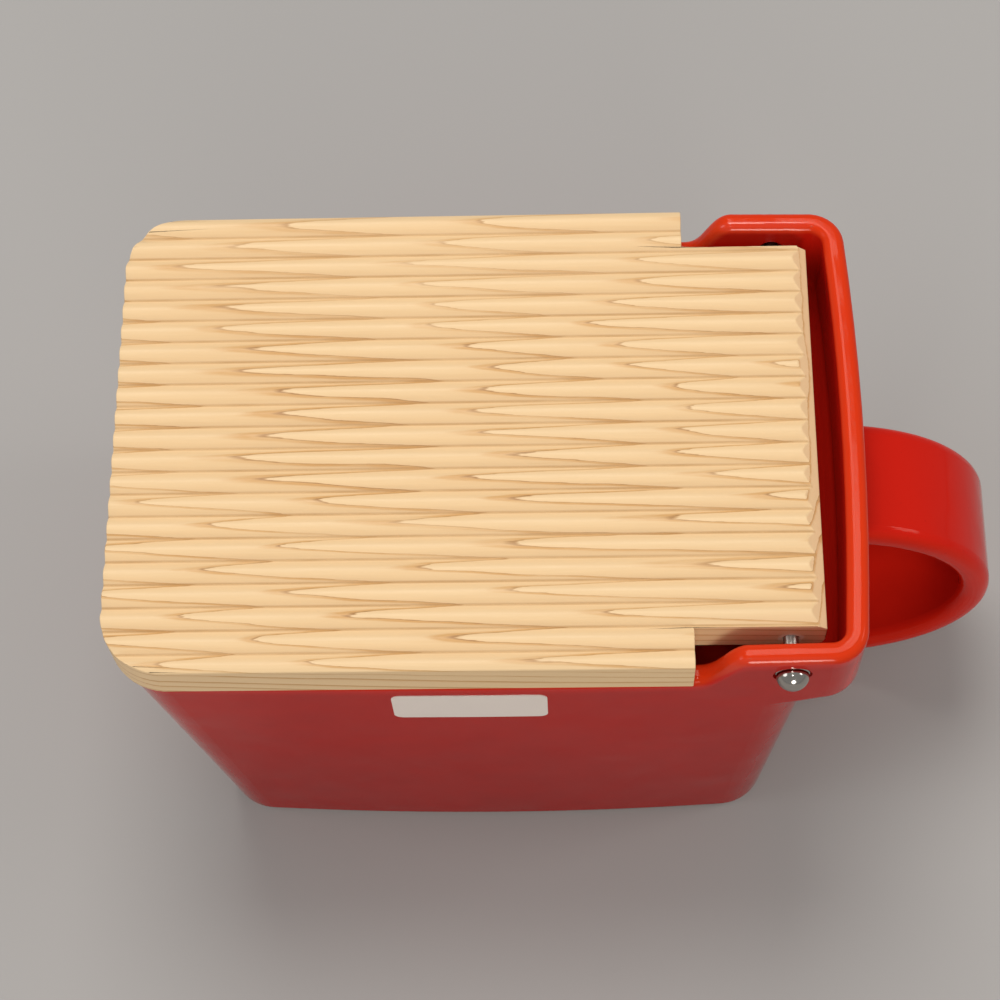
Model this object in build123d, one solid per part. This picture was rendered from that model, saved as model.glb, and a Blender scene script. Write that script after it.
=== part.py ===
from build123d import *
import math
import os

# A ceramic salt box with a strap handle and a hinged, ribbed wooden lid.
# Millimetres. +X points to the handle, -Y to the labelled side, +Z up.
# The origin is the centre of the base's resting face.

# Ceramic box. A flare is how far a wall leans out from the base up to the level of the lid's top.
# A bow is how far a wall's ends fall back from its middle.
base_front_x = -59.3
base_back_x = 59.8
base_half_width = 47.8
base_side_bow = 2.2
front_flare = 12.9
back_flare = 7.3
side_flare = 1.0
top_side_bow = 0.5
front_bow = 0.8
back_bow = 1.6
rim_height = 85.4
rim_flat = 0.9
wall = 4.3
floor_thickness = 6.0
cavity_corner_radius = 5.7
cavity_floor_radius = 4.0
base_edge_radius = 1.5

# Collar and ears
collar_overhang = 7.0
collar_back_bow = 2.0
collar_height = 22.2
collar_underside_rise = 2.8
collar_lower_radius = 5.0
collar_inner_radius = 2.7
ear_rise_length = 9.0
ear_foot_pull = 3.8
ear_crest_pull = 4.8
ear_crest_lead = 8.3

# Handle, a wide strap that bends round half an ellipse between two straight roots
handle_width = 25.4
handle_thickness = 6.2
handle_edge_flat = 0.5
handle_drop = 1.5
handle_root_run = 10.2
handle_bend_reach = 32.4
handle_root_radius = 2.2
handle_foot_gap = 0.1
handle_wall_left = 1.7

# Lid
lid_seat_gap = 0.1
lid_thickness = 10.5
lid_side_overhang = 0.3
lid_front_overhang = 0.7
lid_end_gap = 4.8
lid_tail_gap = 3.7
lid_shoulder_gap = 1.1
lid_corner_radius = 12.0
lid_end_bevel_length = 3.0
lid_end_bevel_drop = 2.6
lid_lower_end_radius = 2.5
lid_rib_pitch = 4.72
lid_rib_depth = 1.2
lid_rib_offset = -0.2

# Hinge
hinge_setback = 6.5
hinge_rise = 3.5
rod_radius = 1.45
ear_hole_gap = 0.85
ear_recess_depth = 1.3
cap_wall = 1.65
cap_side_gap = 0.6
cap_running_gap = 0.1
cap_skirt = 1.5
cap_dome = 2.2
cap_crown = 1.7

# Sticker
label_x = -2.6
label_drop = 10.9
label_length = 30.0
label_height = 12.5
label_thickness = 0.15
label_corner_radius = 1.8

# Reach of construction shapes past the piece, the margin of a cut, the tolerance of a search,
# and how near two walls lie where they count as one
beyond = 60.0
cut_margin = 1.0
tolerance = 0.05
join_tolerance = 0.002

# Heights, worked out from the sizes above
lid_underside = rim_height + lid_seat_gap
lid_top = lid_underside + lid_thickness
collar_top = lid_top
collar_underside_back_z = collar_top - collar_height
collar_underside_front_z = collar_underside_back_z - collar_underside_rise
hinge_z = lid_underside + hinge_rise
label_z = rim_height - label_drop

# Places across the box and along it, each from the one before it
top_half_width = base_half_width + side_flare
top_front_x = base_front_x - front_flare
top_back_x = base_back_x + back_flare
collar_back_x = top_back_x + collar_overhang
lid_end_x = collar_back_x - wall - lid_end_gap
hinge_x = lid_end_x - hinge_setback
ear_crest_x = hinge_x - ear_crest_lead
ear_foot_x = ear_crest_x - ear_rise_length
lid_shoulder_x = ear_foot_x - lid_shoulder_gap
handle_bend_x = base_back_x + handle_root_run
handle_reach_x = handle_bend_x + handle_bend_reach

# Radii and fits
box_corner_radius = cavity_corner_radius + wall
collar_corner_radius = collar_inner_radius + wall
rim_edge_radius = (wall - rim_flat) / 2
ear_hole_radius = rod_radius + ear_hole_gap
cap_radius = rod_radius + cap_wall
ear_recess_radius = cap_radius + cap_side_gap
cap_socket_depth = cap_skirt + cap_dome - cap_crown
handle_edge_radius = handle_thickness / 2 - handle_edge_flat
handle_root_depth = wall - handle_wall_left
handle_top_z = collar_underside_front_z - handle_drop
handle_bottom_z = base_edge_radius + handle_foot_gap + handle_root_radius + handle_thickness / 2


def at_height(low, high, z):
    """A wall's place at height z, on the straight slope from the base to the collar's top."""
    return low + (high - low) * z / collar_top


def side_y(z):
    return at_height(base_half_width, top_half_width, z)


lid_front_x = at_height(base_front_x, top_front_x, rim_height) - lid_front_overhang
lid_length = lid_end_x - lid_front_x
lid_width = 2 * (side_y(rim_height) + lid_side_overhang)
lid_tail_width = 2 * (side_y(hinge_z) - wall - lid_tail_gap)


def side_prism(wire, half_width):
    """A solid of the given X-Z outline, centred on the mid-plane."""
    return extrude(make_face(wire), amount=half_width, both=True)


def bowed_face(low, high, low_bow, high_bow, span, z):
    """A face between two arcs across +X, which bow out at the middle. It runs on well past their span."""
    ends = (span + beyond) / span
    low_end = low + low_bow * ends ** 2
    high_end = high - high_bow * ends ** 2
    half = span + beyond
    low_arc = ThreePointArc((low_end, -half), (low, 0), (low_end, half))
    high_arc = ThreePointArc((high_end, half), (high, 0), (high_end, -half))
    sides = Line((low_end, half), (high_end, half)) + Line((high_end, -half), (low_end, -half))
    return Pos(0, 0, z) * make_face(low_arc + high_arc + sides)


def between_sides(inset, low, high):
    """Everything between the two long walls."""
    span = (base_back_x - base_front_x) / 2
    faces = []
    for z in (low, high):
        half = side_y(z) - inset
        bow = at_height(base_side_bow, top_side_bow, z)
        faces.append(bowed_face(-half, half, bow, bow, span, z).rotate(Axis.Z, 90))
    return loft(faces)


def between_ends(inset, low, high):
    """Everything between the front wall and the lower back wall."""
    faces = []
    for z in (low, high):
        front = at_height(base_front_x, top_front_x, z) + inset
        back = at_height(base_back_x, top_back_x, z) - inset
        faces.append(bowed_face(front, back, front_bow, back_bow, base_half_width, z))
    return loft(faces)


def climbs(edge):
    """True if the edge's middle rises more than it runs sideways."""
    direction = edge % 0.5
    return abs(direction.Z) > math.hypot(direction.X, direction.Y)


def upright_edges(block):
    return block.edges().filter_by(climbs)


def box_block(inset, low, high):
    block = between_sides(inset, low, high) & between_ends(inset, low, high)
    return fillet(upright_edges(block), box_corner_radius - inset)


def collar_side(inset):
    """The collar from the side, with its sloping underside and its rounded lower edge."""
    slope = collar_underside_rise / collar_overhang
    far_back = collar_back_x + beyond
    low_back = collar_underside_back_z + inset
    low_front = low_back - slope * (collar_back_x - ear_foot_x)
    low_far = low_back + slope * beyond
    above = collar_top + beyond
    wire = Plane.XZ * Polyline(
        (ear_foot_x, low_front),
        (far_back, low_far),
        (far_back, above),
        (ear_foot_x, above),
        close=True,
    )
    return side_prism(wire, beyond)


def collar_block(inset, low, high):
    """The raised collar, drawn forward into the box, whose side walls it shares."""
    front = ear_foot_x - box_corner_radius - collar_corner_radius
    back = collar_back_x - inset
    face = bowed_face(front, back, front_bow, collar_back_bow, base_half_width, low)
    block = between_sides(inset, low, high) & extrude(face, amount=high - low)
    corners = upright_edges(block).group_by(Axis.X)[-1]
    block = fillet(corners, collar_corner_radius - inset) & collar_side(inset)
    underside = block.faces().sort_by(Axis.Z)[0]
    behind = underside.edges().sort_by(Axis.X)[1:]
    return fillet(behind, collar_lower_radius - inset / 2)


def rim_cut():
    """All that lies above the rim, the collar's top and the S-curve that joins them at each ear."""
    left = base_front_x - beyond
    right = collar_back_x + beyond
    curve = Bezier(
        (ear_foot_x, rim_height),
        (ear_foot_x + ear_foot_pull, rim_height),
        (ear_crest_x - ear_crest_pull, collar_top),
        (ear_crest_x, collar_top),
    )
    rest = Polyline(
        (ear_crest_x, collar_top),
        (right, collar_top),
        (right, collar_top + beyond),
        (left, collar_top + beyond),
        (left, rim_height),
        (ear_foot_x, rim_height),
    )
    return side_prism(Plane.XZ * (curve + rest), beyond)


def handle():
    """The strap handle, from under the collar round to the foot of the back wall."""
    height = (handle_top_z - handle_bottom_z) / 2
    upper_wall_x = at_height(base_back_x, top_back_x, handle_top_z)
    lower_wall_x = at_height(base_back_x, top_back_x, handle_bottom_z)
    bend = EllipticalCenterArc(
        (handle_bend_x, handle_bottom_z + height),
        handle_reach_x - handle_bend_x,
        height,
        start_angle=-90,
        arc_size=180,
    )
    lower_root = Line((lower_wall_x - handle_root_depth, handle_bottom_z), (handle_bend_x, handle_bottom_z))
    upper_root = Line((handle_bend_x, handle_top_z), (upper_wall_x - handle_root_depth, handle_top_z))
    path = Plane.XZ * (lower_root + bend + upper_root)
    start = Plane(origin=path @ 0, x_dir=(0, 1, 0), z_dir=path % 0)
    section = start * RectangleRounded(handle_width, handle_thickness, handle_edge_radius)
    return sweep(section, path=path)


def round_lower_root(body):
    """Round the joint where the strap's lower end meets the back wall."""
    wall_x = at_height(base_back_x, top_back_x, handle_bottom_z)
    joint = []
    for edge in body.edges():
        place = edge.center()
        at_wall = abs(place.X - wall_x) < handle_root_radius / 2
        across = abs(place.Y) < handle_width / 2 + tolerance
        up = abs(place.Z - handle_bottom_z) < handle_thickness / 2 + tolerance
        if at_wall and across and up:
            joint.append(edge)
    return fillet(joint, handle_root_radius)


def ear_bores():
    """Both ear holes and the recess that holds each cap."""
    outer = side_y(hinge_z)
    hole = Cylinder(ear_hole_radius, 2 * outer + beyond)
    recess = Pos(0, 0, outer - ear_recess_depth + beyond / 2) * Cylinder(ear_recess_radius, beyond)
    bores = hole + recess + mirror(recess, about=Plane.XY)
    return Pos(hinge_x, 0, hinge_z) * Rot(90, 0, 0) * bores


def make_body():
    uncut_top = collar_top + cut_margin
    outside = box_block(0, 0, uncut_top)
    outside = fillet(outside.faces().sort_by(Axis.Z)[0].edges(), base_edge_radius)
    outside = outside.fuse(collar_block(0, 0, uncut_top), tol=join_tolerance)
    outside = round_lower_root(outside + handle())

    cavity_top = uncut_top + cut_margin
    cavity = box_block(wall, floor_thickness, cavity_top)
    cavity = fillet(cavity.faces().sort_by(Axis.Z)[0].edges(), cavity_floor_radius)
    cavity = cavity.fuse(collar_block(wall, floor_thickness, cavity_top), tol=join_tolerance)

    shell = outside - cavity - rim_cut()
    rim = [edge for edge in shell.edges() if edge.bounding_box().min.Z > rim_height - tolerance]
    shell = fillet(rim, rim_edge_radius)
    return shell - ear_bores()


def rib_section():
    """The lid from its end: a flat underside and a row of round ribs."""
    half = lid_width / 2
    groove_z = lid_top - lid_rib_depth
    count = 2 * math.ceil(half / lid_rib_pitch) + 1
    first = lid_rib_offset - count * lid_rib_pitch / 2
    ribs = []
    for index in range(count):
        near = first + index * lid_rib_pitch
        crest = (near + lid_rib_pitch / 2, lid_top)
        ribs.append(ThreePointArc((near, groove_z), crest, (near + lid_rib_pitch, groove_z)))
    last = first + count * lid_rib_pitch
    rest = Polyline((last, groove_z), (last, lid_underside), (first, lid_underside), (first, groove_z))
    return make_face(Plane.YZ * (Curve() + ribs + rest))


def make_lid():
    board = Pos((lid_front_x + lid_end_x) / 2, 0, lid_underside) * Rectangle(lid_length, lid_width)
    board = fillet(board.vertices().group_by(Axis.X)[0], lid_corner_radius)
    notch_length = lid_end_x - lid_shoulder_x + cut_margin
    notch_width = (lid_width - lid_tail_width) / 2 + cut_margin
    for side in (1, -1):
        middle = lid_tail_width / 2 + notch_width / 2
        notch = Rectangle(notch_length, notch_width)
        board -= Pos(lid_shoulder_x + notch_length / 2, side * middle, lid_underside) * notch
    lid = extrude(board, amount=lid_thickness)
    lid &= extrude(rib_section(), amount=lid_length, both=True)

    bevel = Plane.XZ * Polyline(
        (lid_end_x - lid_end_bevel_length, lid_top),
        (lid_end_x - lid_end_bevel_length, lid_top + cut_margin),
        (lid_end_x + cut_margin, lid_top + cut_margin),
        (lid_end_x + cut_margin, lid_top - lid_end_bevel_drop),
        (lid_end_x, lid_top - lid_end_bevel_drop),
        close=True,
    )
    lid -= side_prism(bevel, lid_width)
    lower_end = lid.edges().filter_by(Axis.Y).group_by(Axis.X)[-1].sort_by(Axis.Z)[0]
    lid = fillet(lower_end, lid_lower_end_radius)
    return lid - Pos(hinge_x, 0, hinge_z) * Rot(90, 0, 0) * Cylinder(rod_radius, lid_width)


def cap_seat():
    """How far a cap's flat back lies from the mid-plane."""
    return side_y(hinge_z) - ear_recess_depth + cap_running_gap


def make_cap(side):
    dome_radius = (cap_radius ** 2 + cap_dome ** 2) / (2 * cap_dome)
    skirt = Pos(0, 0, cap_skirt / 2) * Cylinder(cap_radius, cap_skirt)
    ball = Pos(0, 0, cap_skirt + cap_dome - dome_radius) * Sphere(dome_radius)
    dome = ball & Pos(0, 0, cap_skirt + cap_dome / 2) * Cylinder(cap_radius, cap_dome)
    socket = Pos(0, 0, cap_socket_depth / 2) * Cylinder(rod_radius, cap_socket_depth)
    cap = skirt + dome - socket
    return Pos(hinge_x, side * cap_seat(), hinge_z) * Rot(-90 * side, 0, 0) * cap


def make_rod():
    length = 2 * (cap_seat() + cap_socket_depth)
    return Pos(hinge_x, 0, hinge_z) * Rot(90, 0, 0) * Cylinder(rod_radius, length)


def make_label():
    draft = math.degrees(math.atan2(top_half_width - base_half_width, collar_top))
    sticker = extrude(
        RectangleRounded(label_length, label_height, label_corner_radius), amount=label_thickness
    )
    return Pos(label_x, -side_y(label_z), label_z) * Rot(90 + draft, 0, 0) * sticker


pieces = {
    "body": make_body(),
    "lid": make_lid(),
    "hinge_rod": make_rod(),
    "near_cap": make_cap(-1),
    "far_cap": make_cap(1),
    "side_label": make_label(),
}

os.makedirs("parts", exist_ok=True)
for name, piece in pieces.items():
    export_step(piece, os.path.join("parts", name + ".step"))
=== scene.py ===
import math

import bmesh
import bpy
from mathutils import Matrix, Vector


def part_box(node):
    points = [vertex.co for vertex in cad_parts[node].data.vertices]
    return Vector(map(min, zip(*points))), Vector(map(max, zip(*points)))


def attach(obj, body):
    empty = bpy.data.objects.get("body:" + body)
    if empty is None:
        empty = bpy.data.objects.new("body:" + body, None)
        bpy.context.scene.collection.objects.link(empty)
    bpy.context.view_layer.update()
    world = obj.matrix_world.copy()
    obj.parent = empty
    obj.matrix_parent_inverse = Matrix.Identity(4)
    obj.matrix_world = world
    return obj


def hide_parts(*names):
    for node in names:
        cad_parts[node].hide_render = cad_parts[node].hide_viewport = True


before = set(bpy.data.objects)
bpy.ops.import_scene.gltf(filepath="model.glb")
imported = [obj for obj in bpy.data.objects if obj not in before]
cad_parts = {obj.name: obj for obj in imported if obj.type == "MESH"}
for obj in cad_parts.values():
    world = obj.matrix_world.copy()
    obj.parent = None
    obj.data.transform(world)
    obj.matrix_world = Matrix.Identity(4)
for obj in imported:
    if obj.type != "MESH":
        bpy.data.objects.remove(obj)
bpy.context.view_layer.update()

bl_info = {
    "name": "Salt Box",
    "version": (1, 0, 0),
    "blender": (4, 5, 0),
    "location": "View3D > Sidebar > Salt Box",
    "description": "Glazed salt box with a ribbed wooden lid on a steel rod",
    "category": "Add Mesh",
}

# Metres in a millimetre. Sizes and places are in metres, in the frame's own axes.
MM = 0.001
# Distance under which two points are one
TOUCHING = 0.001 * MM

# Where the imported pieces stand
BODY_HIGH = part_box("body")[1]
LID_LOW, LID_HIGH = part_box("lid")
ROD_LOW, ROD_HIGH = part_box("hinge_rod")
NEAR_CAP_LOW, NEAR_CAP_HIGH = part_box("near_cap")
LABEL_LOW, LABEL_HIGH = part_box("side_label")
ROD_MIDDLE = (ROD_LOW + ROD_HIGH) / 2
ROD_RADIUS = (ROD_HIGH.z - ROD_LOW.z) / 2


def length(name, description, default):
    return bpy.props.FloatProperty(
        name=name, description=description, default=default, unit="LENGTH", subtype="DISTANCE"
    )


def colour(name, description, default):
    return bpy.props.FloatVectorProperty(
        name=name, description=description, default=default, size=3, min=0, max=1, subtype="COLOR"
    )


class SaltBoxSizes(bpy.types.PropertyGroup):
    """Lengths of the salt box's pieces."""

    rim_height: length("Rim height", "Height of the box's rim under the lid", 85.4 * MM)
    ear_foot: length("Ear foot", "Where the rim starts to rise to the ears, along the box", 41.2 * MM)
    ear_crest: length("Ear crest", "Where the rim reaches the top of the ears", 50.2 * MM)
    ear_back: length("Ear back", "Where the ears turn into the collar's back wall", 65 * MM)
    base_front: length("Base front", "Where the front wall meets the base, along the box", -59.3 * MM)
    base_back: length("Base back", "Where the back wall meets the base, along the box", 59.8 * MM)
    base_half_width: length("Base half width", "Half the width of the box at its base", 47.8 * MM)
    front_lean: length("Front lean", "How far the front wall leans out up to the top of the ears", 12.9 * MM)
    back_lean: length("Back lean", "How far the back wall leans out up to the top of the ears", 7.3 * MM)
    side_lean: length("Side lean", "How far a long wall leans out up to the top of the ears", 1.0 * MM)
    side_bow: length("Side bow", "How far the ends of a long wall fall back from its middle", 1.4 * MM)
    box_corner: length("Box corner", "Radius of the box's upright corners", 10.0 * MM)
    wall: length("Wall", "Thickness of the fired walls", 4.3 * MM)
    floor_middle: length("Floor middle", "Height half-way through the box's floor", 3 * MM)
    well_floor: length("Well floor", "Height in the middle of the collar's floor", 76.5 * MM)
    well_front: length("Well front", "Where the collar's well starts, along the box", 59 * MM)
    well_back: length("Well back", "The middle of the collar's back wall, along the box", 71.9 * MM)
    well_half_width: length("Well half width", "From the mid-plane to the middle of an ear", 46.5 * MM)
    handle_start: length("Handle start", "How far along the box the handle is free of it", 67.5 * MM)
    handle_top: length("Handle top", "Height at which the handle leaves the collar", 72 * MM)
    handle_half_width: length("Handle half width", "Half the width of the strap handle", 12.7 * MM)
    foot_height: length("Foot height", "Height up to which the base is left unglazed", 0.35 * MM)
    rib_pitch: length("Rib pitch", "Width of one rib of the lid", 4.72 * MM)
    rib_depth: length("Rib depth", "Height of a rib above its grooves", 1.2 * MM)
    rib_offset: length("Rib offset", "How far the row of ribs lies off the middle", -0.2 * MM)
    year_height: length("Year height", "Height of one year's growth in the wood", 1.72 * MM)
    lid_corner: length("Lid corner", "Radius of the lid's two front corners", 12.0 * MM)
    shoulder: length("Shoulder", "Where the lid narrows to its tail", 40.1 * MM)
    tail_width: length("Tail width", "Width of the lid's tail between the ears", 81.45 * MM)
    end_bevel_length: length("End bevel length", "Length of the bevel on the tail's end", 3.0 * MM)
    end_bevel_drop: length("End bevel drop", "Height of the bevel on the tail's end", 2.6 * MM)
    lower_end_radius: length("Lower end radius", "Radius under the tail's end", 2.5 * MM)
    wood_edge: length("Wood edge", "Width of the worn edges of the lid", 0.22 * MM)
    chip: length("Chip", "How far the wood is chipped round the rod", 0.16 * MM)
    rod_chamfer: length("Rod chamfer", "Chamfer at each end of the rod", 0.3 * MM)
    cap_flange: length("Cap flange", "How far a cap's foot stands out past its side", 0.22 * MM)
    cap_skirt: length("Cap skirt", "Height of a cap's straight side", 1.5 * MM)
    sticker_corner: length("Sticker corner", "Radius of the sticker's corners", 1.8 * MM)
    sticker_thickness: length("Sticker thickness", "Thickness of the sticker", 0.15 * MM)


class SaltBoxColours(bpy.types.PropertyGroup):
    """Colours of the salt box's finishes."""

    glaze: colour("Glaze", "Red of the glaze", (0.58, 0.012, 0.005))
    # Lighter glaze over edges, where it runs thinner: partly a painted highlight
    thin_glaze_and_highlight: colour("Thin glaze", "Glaze where it runs thin over an edge", (0.70, 0.055, 0.008))
    # Painted shade on the outer walls, darkest low down; also the colour of the specks
    wall_shade_and_speck: colour("Deep glaze", "Glaze where it lies thick on the walls", (0.22, 0.003, 0.002))
    # Painted light: a lighter glaze for the box's shaded hollow
    lit_inner_glaze: colour("Inner glaze", "Glaze inside the box", (0.82, 0.020, 0.008))
    bisque: colour("Bare clay", "Fired clay under the base", (0.55, 0.44, 0.34))
    wood: colour("Wood", "Pale wood between the growth lines", (0.86, 0.62, 0.35))
    wood_warm: colour("Warm wood", "Wood just before a growth line", (0.66, 0.38, 0.15))
    wood_torn: colour("Torn wood", "Fresh pale fibres where the drill tore the wood", (0.93, 0.78, 0.58))
    # Painted shade in the grooves between the ribs
    groove_shade: colour("Groove", "Wood at the bottom of a groove", (0.48, 0.26, 0.09))
    # Also painted as shade in the crevice round the rod
    growth_line_and_gap_shade: colour("Growth line", "Thin dark line at the end of a year's growth", (0.34, 0.16, 0.05))
    cap_steel: colour("Cap steel", "Polished steel of the caps", (0.50, 0.47, 0.43))
    rod_steel: colour("Rod steel", "Duller drawn steel of the rod", (0.42, 0.37, 0.33))
    paper: colour("Sticker paper", "Bare paper of the sticker", (0.88, 0.79, 0.72))
    floor: colour("Floor", "Plain floor under the box", (0.40, 0.39, 0.38))


# Modelling

def active_sizes():
    return bpy.context.scene.salt_box_sizes


def active_colours():
    return bpy.context.scene.salt_box_colours


def clear_selection():
    if bpy.context.mode != "OBJECT":
        bpy.ops.object.mode_set(mode="OBJECT")
    bpy.ops.object.select_all(action="DESELECT")


def named(name):
    """Names the piece that was just added."""
    piece = bpy.context.object
    piece.name = name
    piece.data.name = name
    return piece


def select_only(piece):
    clear_selection()
    piece.select_set(True)
    bpy.context.view_layer.objects.active = piece


def settle(piece):
    """Puts the piece's place into its mesh, so that the object sits at the origin."""
    select_only(piece)
    bpy.ops.object.transform_apply(location=True, rotation=True, scale=True)


def edit(piece):
    """Starts edit mode on one piece, with all of it selected."""
    select_only(piece)
    bpy.ops.object.mode_set(mode="EDIT")
    bpy.ops.mesh.select_all(action="SELECT")


def close_up():
    """Ends edit mode with the doubles merged and every face pointing out."""
    bpy.ops.mesh.select_all(action="SELECT")
    bpy.ops.mesh.remove_doubles(threshold=TOUCHING)
    bpy.ops.mesh.normals_make_consistent(inside=False)
    bpy.ops.object.mode_set(mode="OBJECT")


def extrude(move):
    """Extrudes the selected faces by a move along the scene's own axes."""
    bpy.ops.mesh.extrude_region_move(TRANSFORM_OT_translate={"value": move, "orient_type": "GLOBAL"})


def trim(point, outwards):
    """Cuts away what lies outwards of a plane and closes the cut."""
    bpy.ops.mesh.select_all(action="SELECT")
    bpy.ops.mesh.bisect(
        plane_co=point, plane_no=outwards, use_fill=True, clear_outer=True, threshold=TOUCHING
    )


def apply_modifier(piece, kind, **settings):
    modifier = piece.modifiers.new(kind.title(), kind)
    for setting, value in settings.items():
        setattr(modifier, setting, value)
    select_only(piece)
    bpy.ops.object.modifier_apply(modifier=modifier.name)


def cut_out(piece, cutter):
    apply_modifier(piece, "BOOLEAN", operation="DIFFERENCE", object=cutter, solver="EXACT")
    bpy.data.objects.remove(cutter)


def smooth(piece, degrees):
    select_only(piece)
    bpy.ops.object.shade_smooth_by_angle(angle=math.radians(degrees))


def finish_piece(piece, material, body, slot, *nodes):
    piece.data.materials.clear()
    piece.data.materials.append(material)
    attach(piece, body)
    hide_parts(*nodes)


def turned(name, centre, outwards, steps, sides):
    """A round piece about an axis along Y. Each step is a radius and a distance from the centre, outwards."""
    clear_selection()
    first_radius, first_reach = steps[0]
    start = Vector(centre) + Vector((0, outwards * first_reach, 0))
    bpy.ops.mesh.primitive_circle_add(
        vertices=sides,
        radius=first_radius,
        fill_type="NGON",
        location=start,
        rotation=(math.pi / 2, 0, 0),
    )
    piece = named(name)
    settle(piece)
    edit(piece)
    radius, reach = first_radius, first_reach
    for next_radius, next_reach in steps[1:]:
        move = (0, outwards * (next_reach - reach), 0)
        extrude(move)
        scale = next_radius / radius
        middle = Vector(centre) + Vector((0, outwards * next_reach, 0))
        bpy.ops.transform.resize(value=(scale, 1, scale), center_override=middle)
        radius, reach = next_radius, next_reach
    close_up()
    return piece


# Materials

def mm(size):
    """A size as a plain number of millimetres, in which the materials count."""
    return size / MM


def darker(shade, amount):
    return tuple(amount * channel for channel in shade)


class Value:
    """A socket of a material. Arithmetic on it adds Math nodes."""

    def __init__(self, finish, socket):
        self.finish = finish
        self.socket = socket

    def math(self, operation, *values):
        return self.finish.node("ShaderNodeMath", {"operation": operation}, dict(enumerate(values)))

    def __add__(self, other):
        return self.math("ADD", self, other)

    def __radd__(self, other):
        return self.math("ADD", other, self)

    def __sub__(self, other):
        return self.math("SUBTRACT", self, other)

    def __rsub__(self, other):
        return self.math("SUBTRACT", other, self)

    def __mul__(self, other):
        return self.math("MULTIPLY", self, other)

    def __rmul__(self, other):
        return self.math("MULTIPLY", other, self)

    def __truediv__(self, other):
        return self.math("DIVIDE", self, other)

    def __rtruediv__(self, other):
        return self.math("DIVIDE", other, self)

    def __pow__(self, other):
        return self.math("POWER", self, other)

    def __rpow__(self, other):
        return self.math("POWER", other, self)

    def __abs__(self):
        return self.math("ABSOLUTE", self)

    def least(self, other):
        return self.math("MINIMUM", self, other)

    def most(self, other):
        return self.math("MAXIMUM", self, other)

    def fraction(self):
        return self.math("FRACT", self)

    def rise(self, low, high):
        """0 below low, 1 above high, and smooth between. High may be the lower one."""
        sockets = {"Value": self, "From Min": low, "From Max": high}
        return self.finish.node("ShaderNodeMapRange", {"interpolation_type": "SMOOTHSTEP"}, sockets)


class Finish:
    """A material under way. Its node method adds every node."""

    def __init__(self, name):
        self.material = bpy.data.materials.new(name)
        self.material.use_nodes = True
        self.tree = self.material.node_tree
        self.tree.nodes.clear()
        place = self.node("ShaderNodeTexCoord", output="Object")
        scale = {"operation": "SCALE"}
        self.place = self.node("ShaderNodeVectorMath", scale, {0: place, "Scale": 1 / MM})
        self.x, self.y, self.z = (
            self.node("ShaderNodeSeparateXYZ", {}, {0: self.place}, axis) for axis in "XYZ"
        )

    def node(self, kind, settings=None, sockets=None, output=0):
        """Adds a node, sets its settings and then its sockets, and returns one output."""
        node = self.tree.nodes.new(kind)
        for name, value in (settings or {}).items():
            setattr(node, name, value)
        for key, value in (sockets or {}).items():
            if isinstance(value, Value):
                self.tree.links.new(value.socket, node.inputs[key])
            else:
                node.inputs[key].default_value = value
        return Value(self, node.outputs[output]) if node.outputs else None

    def stretched(self, scale, offset):
        """The place in millimetres, squeezed by a scale along each axis and then moved."""
        return self.node("ShaderNodeMapping", {}, {"Vector": self.place, "Location": offset, "Scale": scale})

    def noise(self, scale, offset=(0, 0, 0), detail=2, roughness=0.5):
        """Noise from -1 to 1, of one wave per 1 / scale millimetres along each axis."""
        sockets = {
            "Vector": self.stretched(scale, offset),
            "Scale": 1.0,
            "Detail": detail,
            "Roughness": roughness,
        }
        return self.node("ShaderNodeTexNoise", {"noise_dimensions": "3D"}, sockets) * 2 - 1

    def mix(self, amount, first, second):
        """A colour between two colours."""
        amount_socket, first_socket, second_socket = 0, 6, 7
        sockets = {amount_socket: amount}
        for key, shade in ((first_socket, first), (second_socket, second)):
            sockets[key] = shade if isinstance(shade, Value) else (*shade, 1)
        colour_output = 2
        return self.node("ShaderNodeMix", {"data_type": "RGBA"}, sockets, colour_output)

    def bump(self, height, distance):
        return self.node("ShaderNodeBump", {}, {"Height": height, "Distance": distance})

    def surface(self, **sockets):
        """Ends the material with one Principled surface. A name's underscores stand for spaces."""
        named_sockets = {name.replace("_", " "): value for name, value in sockets.items()}
        shader = self.node("ShaderNodeBsdfPrincipled", {}, named_sockets)
        self.node("ShaderNodeOutputMaterial", {}, {"Surface": shader})
        return self.material


def on_the_ears(finish, sizes):
    """0 along the box's own rim, rising to 1 at the ears and the collar."""
    return finish.x.rise(mm(sizes.ear_foot), mm(sizes.ear_crest))


def below_the_rim(finish, sizes):
    """How far a point lies below the rim, which rises from the box to the ears."""
    rim = mm(sizes.rim_height)
    return rim + (mm(BODY_HIGH.z) - rim) * on_the_ears(finish, sizes) - finish.z


def inside_the_walls(finish, sizes):
    """1 in the hollow of the box, 0 outside it, changing half-way through the walls and the floor."""
    x, y, z = finish.x, finish.y, finish.z
    up = z / mm(BODY_HIGH.z)
    front = mm(sizes.base_front) - up * mm(sizes.front_lean)
    back = mm(sizes.base_back) + up * mm(sizes.back_lean)
    half_length = (back - front) * 0.5
    off_middle = x - (back + front) * 0.5
    along = off_middle / half_length
    bow = along * along * mm(sizes.side_bow)
    half_span = mm(sizes.base_half_width) + up * mm(sizes.side_lean) - bow
    # How far outside the rounded outline a point lies, at its height
    corner = mm(sizes.box_corner)
    past_x = abs(off_middle) - half_length + corner
    past_y = abs(y) - half_span + corner
    round_x, round_y = past_x.most(0.0), past_y.most(0.0)
    past_corner = (round_x * round_x + round_y * round_y) ** 0.5
    outside = past_corner + past_x.most(past_y).least(0.0) - corner
    wall_middle = -mm(sizes.wall) / 2
    floor_middle = mm(sizes.floor_middle)
    within = outside.rise(wall_middle + 0.5, wall_middle - 0.5)
    return within * z.rise(floor_middle - 1, floor_middle + 1)


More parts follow.
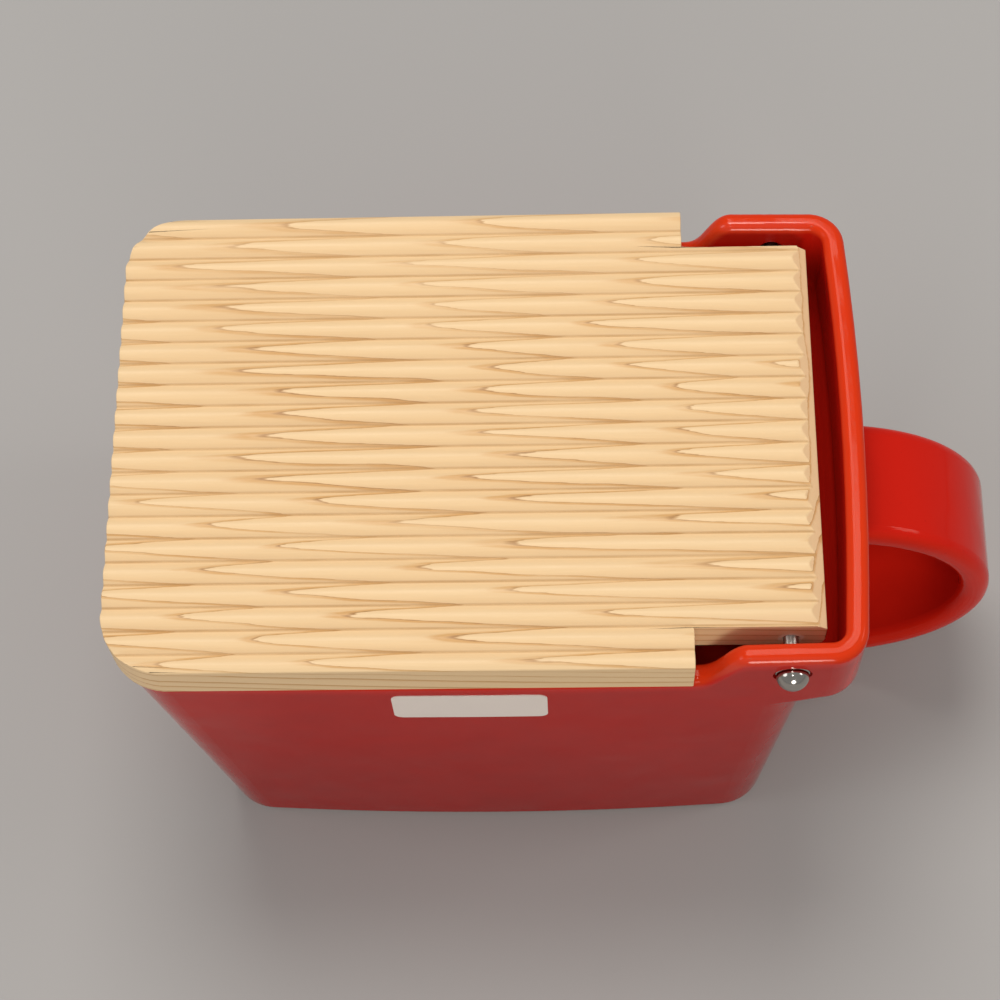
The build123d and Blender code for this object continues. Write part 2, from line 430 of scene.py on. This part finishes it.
def inside_the_well(finish, sizes):
    """1 in the collar's well, between the ears and above its floor."""
    floor, front, back = mm(sizes.well_floor), mm(sizes.well_front), mm(sizes.well_back)
    ear_middle = mm(sizes.well_half_width)
    along = finish.x.rise(front - 1, front + 1) * finish.x.rise(back + 0.5, back - 0.5)
    across = abs(finish.y).rise(ear_middle + 0.4, ear_middle - 0.4)
    return finish.z.rise(floor - 0.7, floor + 0.7) * along * across


def on_the_handle(finish, sizes):
    """1 on the strap handle, under the collar."""
    start, top = mm(sizes.handle_start), mm(sizes.handle_top)
    return finish.x.rise(start, start + 3) * finish.z.rise(top + 1, top - 1)


def near_ear_slopes(finish, sizes):
    """1 on the slope of each ear that faces the near side."""
    ear_middle, back = mm(sizes.well_half_width), mm(sizes.ear_back)
    near_ear = finish.y.rise(-ear_middle - 0.4, -ear_middle - 0.9)
    far_ear = finish.y.rise(ear_middle - 0.5, ear_middle - 1.0) * finish.y.rise(0, 1)
    along = on_the_ears(finish, sizes) * finish.x.rise(back + 3, back - 3)
    return (near_ear + far_ear) * along


def glaze_material(sizes, colours):
    """Red glaze with painted light and shade: lighter over edges, where it also runs thinner, and in the
    box's hollow, and darker on the outer walls, most toward the bottom.
    """
    finish = Finish("Red glaze")
    cloud = finish.noise((0.035, 0.035, 0.035), detail=3)
    mottle = finish.noise((0.16, 0.16, 0.16), (3, 1, 7), detail=4, roughness=0.6)
    speck = finish.noise((1.4, 1.4, 1.4), detail=1, roughness=0.4).rise(0.42, 0.75)

    # Painted shade darkens the outside of the walls, most toward the bottom
    below_rim = below_the_rim(finish, sizes)
    handle = on_the_handle(finish, sizes)
    hollow = inside_the_walls(finish, sizes)
    open_space = hollow.most(inside_the_well(finish, sizes))
    shaded = below_rim.rise(1.5, 5.0) * (1 - open_space) * (1 - handle)
    # Painted shade that grows toward the bottom of the walls
    low = finish.z.rise(80, 5)
    shade_and_mottle = shaded * (0.42 + 0.26 * low) + 0.10 * mottle + 0.08 * cloud
    glazed = finish.mix(shade_and_mottle, colours.glaze, colours.wall_shade_and_speck)
    glazed = finish.mix(speck * 0.28, glazed, colours.wall_shade_and_speck)
    # Painted light: the shaded hollow of the box gets a lighter glaze
    rim_height = mm(sizes.rim_height)
    inside = hollow * finish.z.rise(rim_height, rim_height - 4)
    glazed = finish.mix(inside * 0.8, glazed, colours.lit_inner_glaze)

    # Lighter over the rim and along the handle's edges, where the glaze runs thinner and a painted highlight
    # lies
    rim = below_rim.rise(2.2, 0.5)
    strap_side = mm(sizes.handle_half_width)
    strap_edge = handle * abs(finish.y).rise(strap_side - 1.8, strap_side - 0.3)
    thin_and_highlit = (rim * 0.6 + strap_edge * 0.10) * (0.9 + 0.25 * cloud)
    glazed = finish.mix(thin_and_highlit, glazed, colours.thin_glaze_and_highlight)

    # The base is bare clay
    foot_height = mm(sizes.foot_height)
    foot = finish.z.rise(foot_height + 0.25, foot_height - 0.1)
    clay = finish.noise((2.0, 2.0, 2.0), detail=4, roughness=0.7)
    clay_colour = finish.mix(0.5 + 0.4 * clay, darker(colours.bisque, 0.8), colours.bisque)
    base = finish.mix(foot, glazed, clay_colour)

    ripple = finish.noise((0.07, 0.07, 0.07), (11, 5, 2), detail=1)
    peel = finish.noise((0.55, 0.55, 0.55), (4, 8, 1), detail=2)
    ripple_height = 0.18 * MM
    normal = finish.bump(ripple + peel * 0.035 + clay * foot * 0.1, ripple_height)
    # The low index and the warm tint keep the wall from mirroring too much of the pale floor.
    # The coat is where the glaze ran to the near slope of each ear and is glassier.
    return finish.surface(
        Base_Color=base,
        Roughness=0.085 + 0.03 * mottle + 0.62 * foot,
        Normal=normal,
        IOR=1.23,
        Specular_Tint=(1.0, 0.72, 0.62, 1),
        Coat_Weight=near_ear_slopes(finish, sizes) * rim * 0.8,
        Coat_Roughness=0.08,
    )


def growth_years(finish, sizes):
    """Where in its year's growth a point of the board lies, from 0 at the start to 1 at the dark end."""
    x, y, z = finish.x, finish.y, finish.z
    top = mm(LID_HIGH.z)
    # The flat underside cuts the growth lines so slantwise that only their broad turns may show
    under = z.rise(top - 3, top - 9)
    turns, turns_start = (0.010, 0.045, 0.03), (2, 9, 4)
    wander = finish.noise(turns, turns_start, detail=3, roughness=0.42)
    broad_wander = finish.noise(turns, turns_start, detail=0)
    wander = wander + (broad_wander - wander) * under
    shiver = finish.noise((0.06, 0.7, 0.5), (7, 3, 1), detail=4, roughness=0.6)
    shake = (1 - under) * 0.22 + 0.01
    # A growth line falls by about 1 in 23 along the board, and rises towards the near side
    fall = x * 0.043
    near = (10 - y).most(0.0)
    near_rise = near * near * 0.0019
    # Below the ribs the lines lie further apart
    spread = (z - (top - 2)).least(0.0) * 0.42
    level = z - spread + fall - near_rise + wander * 1.9 + shiver * shake
    sockets = {"W": level * 0.33, "Scale": 1.0, "Detail": 1.0}
    uneven = finish.node("ShaderNodeTexNoise", {"noise_dimensions": "1D"}, sockets)
    return ((level + uneven * 1.1) / mm(sizes.year_height)).fraction()


def wood_material(sizes, colours):
    """Pale softwood, whose growth lines dip slowly along the board and are darkest at each year's end."""
    finish = Finish("Pale wood")
    x, y, z = finish.x, finish.y, finish.z
    year = growth_years(finish, sizes)
    before_end = year.rise(1.0, 0.975)
    early = year.rise(0.45, 0.95) * before_end
    late = year.rise(0.78, 0.92) * before_end
    line = year.rise(0.93, 0.985) * before_end
    # The lines are fainter towards the far side
    clearness = y.rise(45, 5) * 0.4 + 0.6
    vary = finish.noise((0.014, 0.11, 0.07), (1, 2, 8), detail=3).rise(-0.45, 0.45)
    patch = finish.noise((0.07, 0.8, 0.5), (3, 6, 2), detail=3).rise(-0.3, 0.35)
    fibre = finish.noise((0.10, 3.2, 3.2), detail=4, roughness=0.65)
    streak = finish.noise((0.02, 0.55, 0.55), (5, 5, 5), detail=3)

    tone = finish.mix(0.5 + 0.5 * streak, darker(colours.wood, 0.93), colours.wood)
    brown = early * (0.04 + 0.18 * vary) + late * (0.25 + 0.40 * vary + 0.55 * patch) * clearness
    tone = finish.mix(brown.least(1.0), tone, colours.wood_warm)
    tone = finish.mix(line * (0.50 + 0.50 * vary) * clearness, tone, colours.growth_line_and_gap_shade)
    tone = finish.mix((0.5 + 0.9 * fibre).most(0.0) * 0.16, tone, colours.wood_warm)

    # Painted shade darkens the grooves between the ribs
    top, pitch = mm(LID_HIGH.z), mm(sizes.rib_pitch)
    rib = ((y - (mm(sizes.rib_offset) + pitch / 2)) / pitch).fraction()
    groove = abs(rib - 0.5).rise(0.41, 0.49) * z.rise(top - 1.6, top - 1.0)
    tone = finish.mix(groove * (0.50 + 0.34 * patch), tone, colours.groove_shade)

    # Torn pale fibres round the rod, and painted shade in the crevice next to it
    from_rod_x = x - mm(ROD_MIDDLE.x)
    from_rod_z = z - mm(ROD_MIDDLE.z)
    from_rod = (from_rod_x * from_rod_x + from_rod_z * from_rod_z) ** 0.5 - mm(ROD_RADIUS)
    tear = finish.noise((0.9, 0.3, 1.3), (4, 4, 6), detail=2)
    torn = (from_rod + tear * 0.8).rise(1.4, 0.5)
    gap_shade = (from_rod + tear * 0.15).rise(0.14, 0.04)
    tone = finish.mix(torn * 0.9, tone, colours.wood_torn)
    tone = finish.mix(gap_shade * 0.8, tone, colours.growth_line_and_gap_shade)

    grain_height = 0.05 * MM
    normal = finish.bump(fibre * 0.35 + late * 0.5 - line * 0.3 + torn * tear * 2, grain_height)
    roughness = 0.5 + 0.08 * fibre - 0.06 * late
    return finish.surface(Base_Color=tone, Roughness=roughness, Normal=normal, IOR=1.45)


def steel_material(name, steel, grain, rough):
    """Steel with fine turning marks of a given scale along each axis."""
    finish = Finish(name)
    marks = finish.noise(grain, detail=3, roughness=0.6)
    smudge = finish.noise((0.5, 0.5, 0.5), (3, 3, 3), detail=2)
    tone = finish.mix(0.5 + 0.5 * smudge, darker(steel, 0.8), steel)
    mark_height = 0.01 * MM
    return finish.surface(
        Base_Color=tone,
        Metallic=1.0,
        Roughness=rough + 0.06 * marks + 0.04 * smudge,
        Normal=finish.bump(marks, mark_height),
    )


def paper_material(colours):
    """Coated white sticker paper, slightly uneven."""
    finish = Finish("Sticker paper")
    pulp = finish.noise((1.5, 1.5, 1.5), detail=4, roughness=0.7)
    soil = finish.noise((0.12, 0.12, 0.12), (6, 2, 4), detail=2)
    tone = finish.mix(0.25 + 0.2 * soil + 0.1 * pulp, colours.paper, darker(colours.paper, 0.88))
    pulp_height = 0.06 * MM
    normal = finish.bump(pulp * 0.3 + soil, pulp_height)
    return finish.surface(Base_Color=tone, Roughness=0.38 + 0.06 * pulp, Normal=normal, Coat_Weight=0.25)


def floor_material(colours):
    """Dull plain floor, very slightly clouded."""
    finish = Finish("Plain floor")
    cloud = finish.noise((0.002, 0.002, 0.002), detail=2)
    tone = finish.mix(0.5 + 0.5 * cloud, darker(colours.floor, 0.985), colours.floor)
    return finish.surface(Base_Color=tone, Roughness=0.9, Specular_IOR_Level=0.2)


# Pieces

class SALTBOX_OT_glazed_box(bpy.types.Operator):
    """Glaze the fired box, with its collar, ears and handle"""

    bl_idname = "saltbox.glazed_box"
    bl_label = "Glazed box"

    def execute(self, context):
        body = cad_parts["body"]
        body.data.materials.clear()
        body.data.materials.append(glaze_material(active_sizes(), active_colours()))
        return {"FINISHED"}


class SALTBOX_OT_ribbed_lid(bpy.types.Operator):
    """Model the ribbed wooden lid, cut to its outline, with its tail and the chipped hole for the rod"""

    bl_idname = "saltbox.ribbed_lid"
    bl_label = "Ribbed lid"

    board_segments = 8
    rib_segments = 14
    corner_segments = 12
    lower_end_segments = 6
    # 1 gives a half wave with sharp grooves, 2 a full wave with grooves as round as the crests
    groove_narrowness = 1.35
    # An edge is worn if it turns outwards by more than this many degrees, away from the rod
    worn_angle = 34
    unworn_round_rod = 3 * MM

    def ribbed_board(self, sizes):
        """A board a little wider than the lid, with whole ribs on top."""
        ribs = 2 * math.ceil(LID_HIGH.y / sizes.rib_pitch) + 1
        width = ribs * sizes.rib_pitch
        middle = ((LID_LOW.x + LID_HIGH.x) / 2, sizes.rib_offset, LID_HIGH.z - sizes.rib_depth)
        clear_selection()
        bpy.ops.mesh.primitive_grid_add(
            x_subdivisions=self.board_segments,
            y_subdivisions=ribs * self.rib_segments,
            size=1,
            location=middle,
        )
        board = named("ribbed_lid")
        board.scale = (LID_HIGH.x - LID_LOW.x, width, 1)
        settle(board)
        edit(board)
        self.raise_ribs(board, sizes, sizes.rib_offset - width / 2)
        bpy.ops.mesh.select_all(action="SELECT")
        extrude((0, 0, LID_LOW.z - LID_HIGH.z))
        bpy.ops.transform.resize(value=(1, 1, 0), center_override=(0, 0, LID_LOW.z))
        return board

    def raise_ribs(self, board, sizes, first):
        """Lifts the points of the flat board onto waves with round crests and narrow grooves."""
        mesh = bmesh.from_edit_mesh(board.data)
        # Keeps a point on a groove from falling back into the rib before it
        nudge = 1e-5
        for point in mesh.verts:
            along = (point.co.y - first) / sizes.rib_pitch
            off_crest = along - math.floor(along + nudge) - 0.5
            crest = max(math.cos(math.pi * off_crest), 0) ** self.groove_narrowness
            point.co.z = LID_HIGH.z - sizes.rib_depth * (1 - crest)
        bmesh.update_edit_mesh(board.data)

    def trim_quarter(self, middle, radius, first, last, segments):
        """Rounds an edge by flat cuts on a quarter turn from a first direction to a last one."""
        for step in range(1, segments):
            turn = math.radians(90 * step / segments)
            out = first * math.cos(turn) + last * math.sin(turn)
            trim(middle + out * radius, out)

    def cut_outline(self, sizes):
        """Cuts the sides, the round front corners, the tail's bevelled end and its lower edge."""
        for side in (1, -1):
            trim((0, side * LID_HIGH.y, 0), (0, side, 0))
            radius = sizes.lid_corner
            corner = Vector((LID_LOW.x + radius, side * (LID_HIGH.y - radius), 0))
            front, sideways = Vector((-1, 0, 0)), Vector((0, side, 0))
            self.trim_quarter(corner, radius, front, sideways, self.corner_segments)
        bevel_low = Vector((LID_HIGH.x, 0, LID_HIGH.z - sizes.end_bevel_drop))
        trim(bevel_low, (sizes.end_bevel_drop, 0, sizes.end_bevel_length))
        radius = sizes.lower_end_radius
        middle = Vector((LID_HIGH.x - radius, 0, LID_LOW.z + radius))
        back, down = Vector((1, 0, 0)), Vector((0, 0, -1))
        self.trim_quarter(middle, radius, back, down, self.lower_end_segments)

    def shoulder_cutter(self, sizes, side):
        margin = 2 * MM
        reach = LID_HIGH.x - sizes.shoulder + margin
        room = LID_HIGH.y - sizes.tail_width / 2 + margin
        middle = (sizes.shoulder + reach / 2, side * (sizes.tail_width / 2 + room / 2), LID_LOW.z)
        clear_selection()
        bpy.ops.mesh.primitive_cube_add(size=1, location=middle)
        cutter = named("shoulder_cutter")
        cutter.scale = (reach, room, 4 * (LID_HIGH.z - LID_LOW.z))
        settle(cutter)
        return cutter

    def hole_cutter(self, sizes, side):
        """An uneven flare round the rod, where the drill tore the wood."""
        start = Vector((ROD_MIDDLE.x, 0, ROD_MIDDLE.z))
        # Each step: how much wider than the rod, and how deep under the tail's side
        flare = (
            (-0.1 * ROD_RADIUS, 2.2 * MM),
            (0.03 * MM, 2.0 * MM),
            (0.05 * MM, 0.9 * MM),
            (sizes.chip * 0.45, 0.45 * MM),
            (sizes.chip, -0.05 * MM),
            (sizes.chip, -1.0 * MM),
        )
        steps = [(ROD_RADIUS + wider, sizes.tail_width / 2 - deep) for wider, deep in flare]
        cutter = turned("hole_cutter", start, side, steps, sides=40)
        least_gap = 0.08 * MM
        torn_from = 0.1 * MM
        tear = 1.5
        for point in cutter.data.vertices:
            out = Vector((point.co.x - start.x, 0, point.co.z - start.z))
            if out.length > ROD_RADIUS + torn_from:
                # Three waves and seven waves round the hole leave it torn unevenly
                turn = math.atan2(out.z, out.x)
                torn = 0.5 + 0.5 * math.sin(3 * turn + side) * math.sin(7 * turn + 2 * side)
                reach = ROD_RADIUS + least_gap + (out.length - ROD_RADIUS) * tear * torn
                out = out.normalized() * reach
                point.co.x = start.x + out.x
                point.co.z = start.z + out.z
        return cutter

    def mark_outer_edges(self, lid):
        """Gives a bevel weight to each sharp edge that stands out, but not in the grooves or at the rod."""
        edit(lid)
        mesh = bmesh.from_edit_mesh(lid.data)
        weight = mesh.edges.layers.float.new("bevel_weight_edge")
        for edge in mesh.edges:
            middle = (edge.verts[0].co + edge.verts[1].co) / 2
            from_rod = Vector((middle.x - ROD_MIDDLE.x, middle.z - ROD_MIDDLE.z)).length
            turn = math.degrees(edge.calc_face_angle_signed())
            if turn > self.worn_angle and from_rod > self.unworn_round_rod:
                edge[weight] = 1.0
        bmesh.update_edit_mesh(lid.data)
        bpy.ops.object.mode_set(mode="OBJECT")

    def execute(self, context):
        sizes = active_sizes()
        lid = self.ribbed_board(sizes)
        self.cut_outline(sizes)
        close_up()
        for side in (1, -1):
            cut_out(lid, self.shoulder_cutter(sizes, side))
            cut_out(lid, self.hole_cutter(sizes, side))
        self.mark_outer_edges(lid)
        apply_modifier(
            lid,
            "BEVEL",
            width=sizes.wood_edge,
            segments=2,
            limit_method="WEIGHT",
            use_clamp_overlap=False,
        )
        # The bevel may lift a point past the top of a rib
        for point in lid.data.vertices:
            point.co.z = min(point.co.z, LID_HIGH.z)
        smooth(lid, degrees=32)
        apply_modifier(lid, "WEIGHTED_NORMAL", keep_sharp=True, weight=80)
        finish_piece(lid, wood_material(sizes, active_colours()), "lid", "wood", "lid")
        return {"FINISHED"}


class SALTBOX_OT_hinge_rod(bpy.types.Operator):
    """Turn the steel rod, chamfered at both ends"""

    bl_idname = "saltbox.hinge_rod"
    bl_label = "Hinge rod"

    def execute(self, context):
        sizes = active_sizes()
        end = (ROD_HIGH.y - ROD_LOW.y) / 2
        chamfer = sizes.rod_chamfer
        # From the far end inwards. The near half is the same, turned round.
        far_half = [
            (ROD_RADIUS - chamfer, end),
            (ROD_RADIUS - chamfer * 0.3, end - chamfer * 0.4),
            (ROD_RADIUS, end - chamfer),
            (ROD_RADIUS, end * 0.5),
        ]
        near_half = [(radius, -reach) for radius, reach in far_half]
        rod = turned("turned_rod", ROD_MIDDLE, 1, near_half + far_half[::-1], sides=48)
        smooth(rod, degrees=30)
        material = steel_material("Drawn steel", active_colours().rod_steel, (0.6, 6.0, 0.6), 0.34)
        finish_piece(rod, material, "lid", "steel", "hinge_rod")
        return {"FINISHED"}


class SALTBOX_OT_rod_caps(bpy.types.Operator):
    """Turn the two domed caps, each with a small foot and a socket for the rod"""

    bl_idname = "saltbox.rod_caps"
    bl_label = "Rod caps"

    dome_steps = 10
    # A cap's sharp edges are broken by this much
    broken_edge = 0.1 * MM
    foot_height = 0.42 * MM
    # The dome starts at this share of its turn, and ends this part of a step short of the crown
    dome_start = 0.97
    crown_gap = 0.4

    def cap(self, sizes, side, name):
        seat = -NEAR_CAP_HIGH.y
        crown = NEAR_CAP_HIGH.y - NEAR_CAP_LOW.y
        radius = (NEAR_CAP_HIGH.z - NEAR_CAP_LOW.z) / 2
        bore = ROD_RADIUS
        socket = -ROD_LOW.y - seat
        dome = crown - sizes.cap_skirt
        dome_radius = (radius ** 2 + dome ** 2) / (2 * dome)
        foot = radius + sizes.cap_flange
        edge = self.broken_edge
        # From the socket's floor, out over the flat back and the foot, and up the straight side
        steps = [
            (bore * 0.98, seat + socket),
            (bore, seat + socket * 0.9),
            (bore, seat + edge),
            (bore + edge, seat),
            (foot - edge * 1.2, seat),
            (foot, seat + edge),
            (foot, seat + self.foot_height - edge),
            (foot - edge, seat + self.foot_height),
            (radius - edge * 0.2, seat + self.foot_height + edge * 0.8),
            (radius, seat + self.foot_height + edge * 2),
            (radius, seat + sizes.cap_skirt - edge * 3.5),
        ]
        half_angle = math.asin(min(radius / dome_radius, 1)) * self.dome_start
        for step in range(self.dome_steps + 1):
            angle = half_angle * (1 - step / (self.dome_steps + self.crown_gap))
            height = sizes.cap_skirt + dome - dome_radius * (1 - math.cos(angle))
            steps.append((dome_radius * math.sin(angle), seat + height))
        piece = turned(name, (ROD_MIDDLE.x, 0, ROD_MIDDLE.z), side, steps, sides=64)
        smooth(piece, degrees=50)
        return piece

    def execute(self, context):
        sizes = active_sizes()
        material = steel_material("Polished steel", active_colours().cap_steel, (1.2, 1.2, 1.2), 0.12)
        for side, name, node in ((-1, "near_domed_cap", "near_cap"), (1, "far_domed_cap", "far_cap")):
            finish_piece(self.cap(sizes, side, name), material, "lid", "steel", node)
        return {"FINISHED"}


class SALTBOX_OT_side_sticker(bpy.types.Operator):
    """Cut the bare sticker, press it onto the bowed wall and give it its thickness"""

    bl_idname = "saltbox.side_sticker"
    bl_label = "Side sticker"

    columns = 24
    rows = 8
    # How far in front of the wall the sticker is cut, before it is pressed on
    distance = 2 * MM

    def split(self, low, high, strips, across):
        """Splits the flat sticker into equal strips along one axis, so that it can follow the wall."""
        for step in range(1, strips):
            cut = across * (low + (high - low) * step / strips)
            bpy.ops.mesh.select_all(action="SELECT")
            bpy.ops.mesh.bisect(plane_co=cut, plane_no=across, threshold=TOUCHING)

    def execute(self, context):
        sizes = active_sizes()
        middle = (LABEL_LOW + LABEL_HIGH) / 2
        size = LABEL_HIGH - LABEL_LOW
        clear_selection()
        place = (middle.x, LABEL_LOW.y - self.distance, middle.z)
        bpy.ops.mesh.primitive_plane_add(size=1, location=place, rotation=(math.pi / 2, 0, 0))
        sticker = named("blank_sticker")
        sticker.scale = (size.x, size.z, 1)
        settle(sticker)
        edit(sticker)
        bpy.ops.mesh.bevel(offset=sizes.sticker_corner, segments=8, affect="VERTICES")
        self.split(LABEL_LOW.x, LABEL_HIGH.x, self.columns, Vector((1, 0, 0)))
        self.split(LABEL_LOW.z, LABEL_HIGH.z, self.rows, Vector((0, 0, 1)))
        close_up()
        apply_modifier(
            sticker,
            "SHRINKWRAP",
            target=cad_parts["body"],
            wrap_method="PROJECT",
            use_project_y=True,
            use_negative_direction=False,
            use_positive_direction=True,
            offset=0.0,
        )
        apply_modifier(sticker, "SOLIDIFY", thickness=sizes.sticker_thickness, offset=1)
        edit(sticker)
        close_up()
        smooth(sticker, degrees=40)
        finish_piece(sticker, paper_material(active_colours()), "box", "sticker", "side_label")
        return {"FINISHED"}


class SALTBOX_OT_stage(bpy.types.Operator):
    """Lay the floor, hang the soft lamps and set up the camera"""

    bl_idname = "saltbox.stage"
    bl_label = "Stage"

    # The camera's place, and its turn in degrees about X, then Y, then Z
    camera_place = (0.0181, -0.2019, 0.5141)
    camera_turn = (24.12, 1.915, 0.079)
    # The lens and the width of the sensor are in millimetres
    camera_lens = 86.4
    camera_sensor = 36.0
    # Each lamp: name, place, size, power and colour
    lamps = (
        ("Ceiling lamp", (-0.10, 0.50, 1.30), 0.7, 9.6, (1.0, 0.97, 0.93)),
        ("Near lamp", (0.12, -1.2, 0.42), 0.5, 4.0, (1.0, 0.95, 0.88)),
        ("Small lamp", (-0.03, -0.476, 1.25), 0.12, 2.0, (1.0, 0.97, 0.93)),
        ("Window lamp", (-1.1, -0.1, 0.8), 0.7, 2.5, (0.97, 0.98, 1.0)),
        ("Handle lamp", (1.0, 0.1, 0.8), 0.4, 2.0, (1.0, 0.98, 0.95)),
    )
    lamp_aim = Vector((0, 0, 0.05))
    sky = (0.80, 0.79, 0.78)
    sky_strength = 0.42
    floor_radius = 2.5

    def add_floor(self):
        clear_selection()
        bpy.ops.mesh.primitive_circle_add(
            vertices=96, radius=self.floor_radius, fill_type="NGON", location=(0, 0, 0)
        )
        floor = named("floor")
        floor.data.materials.append(floor_material(active_colours()))

    def add_lamp(self, name, place, size, power, tint):
        bpy.ops.object.light_add(type="AREA", location=place)
        lamp = bpy.context.object
        lamp.name = name
        lamp.data.shape = "DISK"
        lamp.data.size = size
        lamp.data.energy = power
        lamp.data.color = tint
        aim = self.lamp_aim - Vector(place)
        lamp.rotation_euler = aim.to_track_quat("-Z", "Y").to_euler()

    def add_sky(self):
        world = bpy.data.worlds.new("Pale room")
        bpy.context.scene.world = world
        world.use_nodes = True
        background = world.node_tree.nodes["Background"]
        background.inputs["Color"].default_value = (*self.sky, 1)
        background.inputs["Strength"].default_value = self.sky_strength

    def add_camera(self):
        turn = [math.radians(degrees) for degrees in self.camera_turn]
        bpy.ops.object.camera_add(location=self.camera_place, rotation=turn)
        camera = bpy.context.object
        camera.name = "Camera"
        camera.data.lens = self.camera_lens
        camera.data.sensor_width = self.camera_sensor
        camera.data.clip_start = 0.01
        bpy.context.scene.camera = camera

    def execute(self, context):
        self.add_floor()
        for lamp in self.lamps:
            self.add_lamp(*lamp)
        self.add_sky()
        self.add_camera()
        context.scene.view_settings.view_transform = "Standard"
        return {"FINISHED"}


class SALTBOX_PT_panel(bpy.types.Panel):
    """Sidebar panel that lists the pieces in the order they are made"""

    bl_idname = "SALTBOX_PT_panel"
    bl_label = "Salt Box"
    bl_space_type = "VIEW_3D"
    bl_region_type = "UI"
    bl_category = "Salt Box"

    def draw(self, context):
        for operator in OPERATORS:
            self.layout.operator(operator.bl_idname)
        for group in (context.scene.salt_box_sizes, context.scene.salt_box_colours):
            box = self.layout.box()
            for name in group.bl_rna.properties.keys():
                if name not in ("rna_type", "name"):
                    box.prop(group, name)


OPERATORS = (
    SALTBOX_OT_stage,
    SALTBOX_OT_glazed_box,
    SALTBOX_OT_ribbed_lid,
    SALTBOX_OT_hinge_rod,
    SALTBOX_OT_rod_caps,
    SALTBOX_OT_side_sticker,
)
CLASSES = (SaltBoxSizes, SaltBoxColours, *OPERATORS, SALTBOX_PT_panel)


def register():
    for item in CLASSES:
        bpy.utils.register_class(item)
    bpy.types.Scene.salt_box_sizes = bpy.props.PointerProperty(type=SaltBoxSizes)
    bpy.types.Scene.salt_box_colours = bpy.props.PointerProperty(type=SaltBoxColours)


def unregister():
    del bpy.types.Scene.salt_box_colours
    del bpy.types.Scene.salt_box_sizes
    for item in reversed(CLASSES):
        bpy.utils.unregister_class(item)


def main():
    register()
    bpy.ops.saltbox.stage()
    bpy.ops.saltbox.glazed_box()
    bpy.ops.saltbox.ribbed_lid()
    bpy.ops.saltbox.hinge_rod()
    bpy.ops.saltbox.rod_caps()
    bpy.ops.saltbox.side_sticker()
    clear_selection()
    bpy.context.view_layer.update()


if __name__ == "__main__":
    main()
